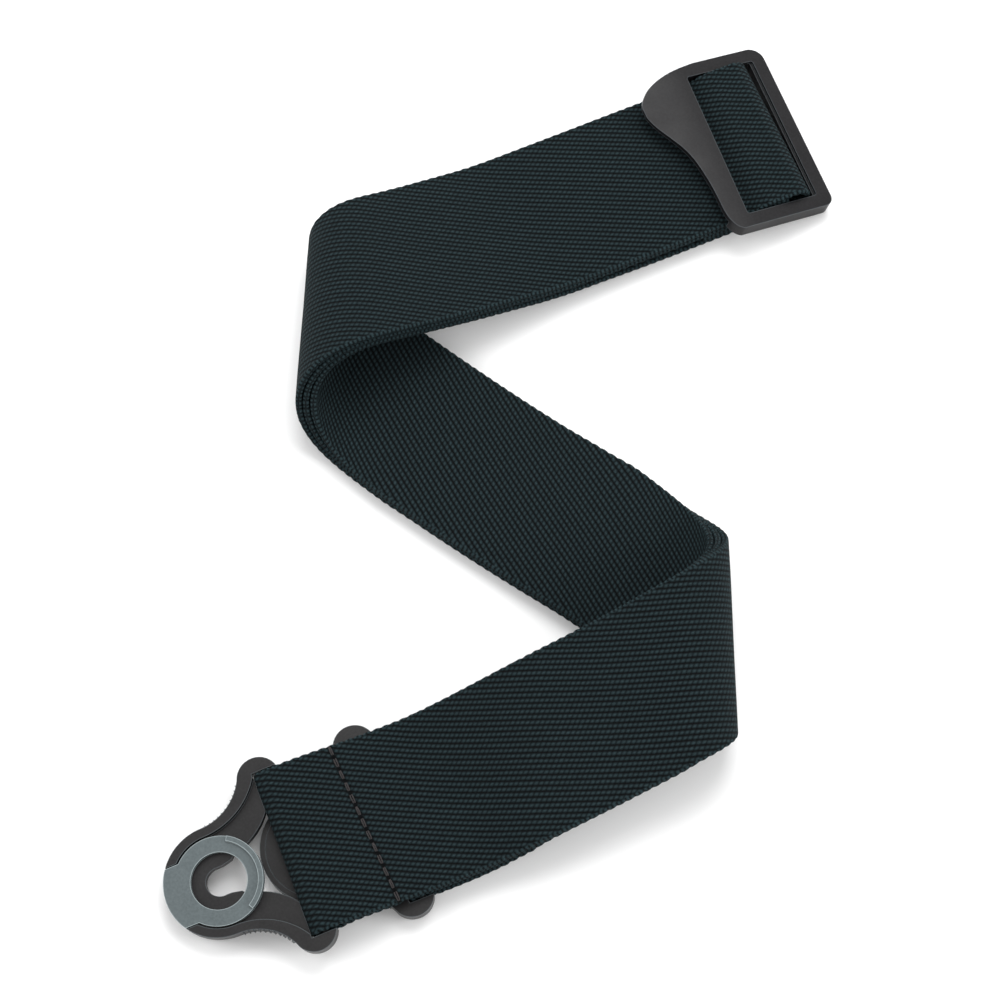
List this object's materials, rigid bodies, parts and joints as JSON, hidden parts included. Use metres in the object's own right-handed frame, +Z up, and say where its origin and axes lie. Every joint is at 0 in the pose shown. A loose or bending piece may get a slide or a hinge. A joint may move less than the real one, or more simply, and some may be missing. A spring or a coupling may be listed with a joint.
{
  "type": "guitar strap",
  "caption": "Adjustable woven guitar strap folded in a Z, with self-locking moulded ends that close round the strap buttons and a slider that sets the length.",
  "frame": {"origin": "on the floor, under the middle of the bounding box", "axes": "+Z up; +Y from the locks towards the slider, along the folded strap's longest extent; +X to the right"},
  "size_m": [0.1993, 0.2892, 0.0289],
  "materials": {
    "webbing": "dark blue-grey twill webbing, matt",
    "frame_plastic": "moulded black nylon, fine satin",
    "gate_plastic": "moulded mid-grey acetal, satin",
    "slider_plastic": "moulded dark grey nylon, satin",
    "spring_steel": "drawn spring wire"
  },
  "bodies": {
    "webbing": {"bottom_ply_lock_loop": "webbing", "bottom_ply_lower_run": "webbing", "bottom_ply_lower_turn": "webbing", "bottom_ply_middle_run": "webbing", "bottom_ply_under_slider": "webbing", "bottom_ply_upper_run": "webbing", "bottom_ply_upper_turn": "webbing", "inner_ply_lower_run": "webbing", "inner_ply_lower_turn": "webbing", "inner_ply_middle_run": "webbing", "inner_ply_slider_loop": "webbing", "inner_ply_upper_run": "webbing", "inner_ply_upper_turn": "webbing", "slider_turn": "webbing", "top_ply_lock_loop": "webbing", "top_ply_lower_run": "webbing", "top_ply_lower_turn": "webbing", "top_ply_middle_run": "webbing", "top_ply_over_slider": "webbing", "top_ply_upper_run": "webbing", "top_ply_upper_turn": "webbing"},
    "lock_1": {"lock_1_back_plate": "frame_plastic", "lock_1_frame": "frame_plastic", "lock_1_return_springs": "spring_steel"},
    "gate_1": {"lock_1_gate": "gate_plastic"},
    "lock_2": {"lock_2_back_plate": "frame_plastic", "lock_2_frame": "frame_plastic", "lock_2_return_springs": "spring_steel"},
    "gate_2": {"lock_2_gate": "gate_plastic"},
    "adjuster": {"slider": "slider_plastic"}
  },
  "joints": [
    {"name": "lock_1_swing", "type": "hinge", "parent": "webbing", "child": "lock_1", "pos_m": [-0.06224, -0.11566, 0.00844], "axis": [-0.3674, 0.9301, -0.0001], "range_deg": [0, 60], "stiffness_Nm_per_rad": 0.05},
    {"name": "gate_1_slide", "type": "slide", "parent": "lock_1", "child": "gate_1", "axis": [0.925, 0.3654, 0.1046], "range_m": [0, 0.006], "stiffness_N_per_m": 300, "springref_m": -0.002, "deforming": ["lock_1_return_springs"]},
    {"name": "lock_2_swing", "type": "hinge", "parent": "webbing", "child": "lock_2", "pos_m": [-0.03527, -0.105, 0.0036], "axis": [0.3674, -0.9301, 0.0001], "range_deg": [0, 60], "stiffness_Nm_per_rad": 0.05},
    {"name": "gate_2_slide", "type": "slide", "parent": "lock_2", "child": "gate_2", "axis": [0.9294, 0.3671, 0.0372], "range_m": [0, 0.006], "stiffness_N_per_m": 300, "springref_m": -0.002, "deforming": ["lock_2_return_springs"]},
    {"name": "slider_rock", "type": "hinge", "parent": "webbing", "child": "adjuster", "pos_m": [0.07337, 0.11133, 0.00581], "axis": [-0.391, 0.9204, 0], "range_deg": [0, 20], "stiffness_Nm_per_rad": 0.05}
  ]
}
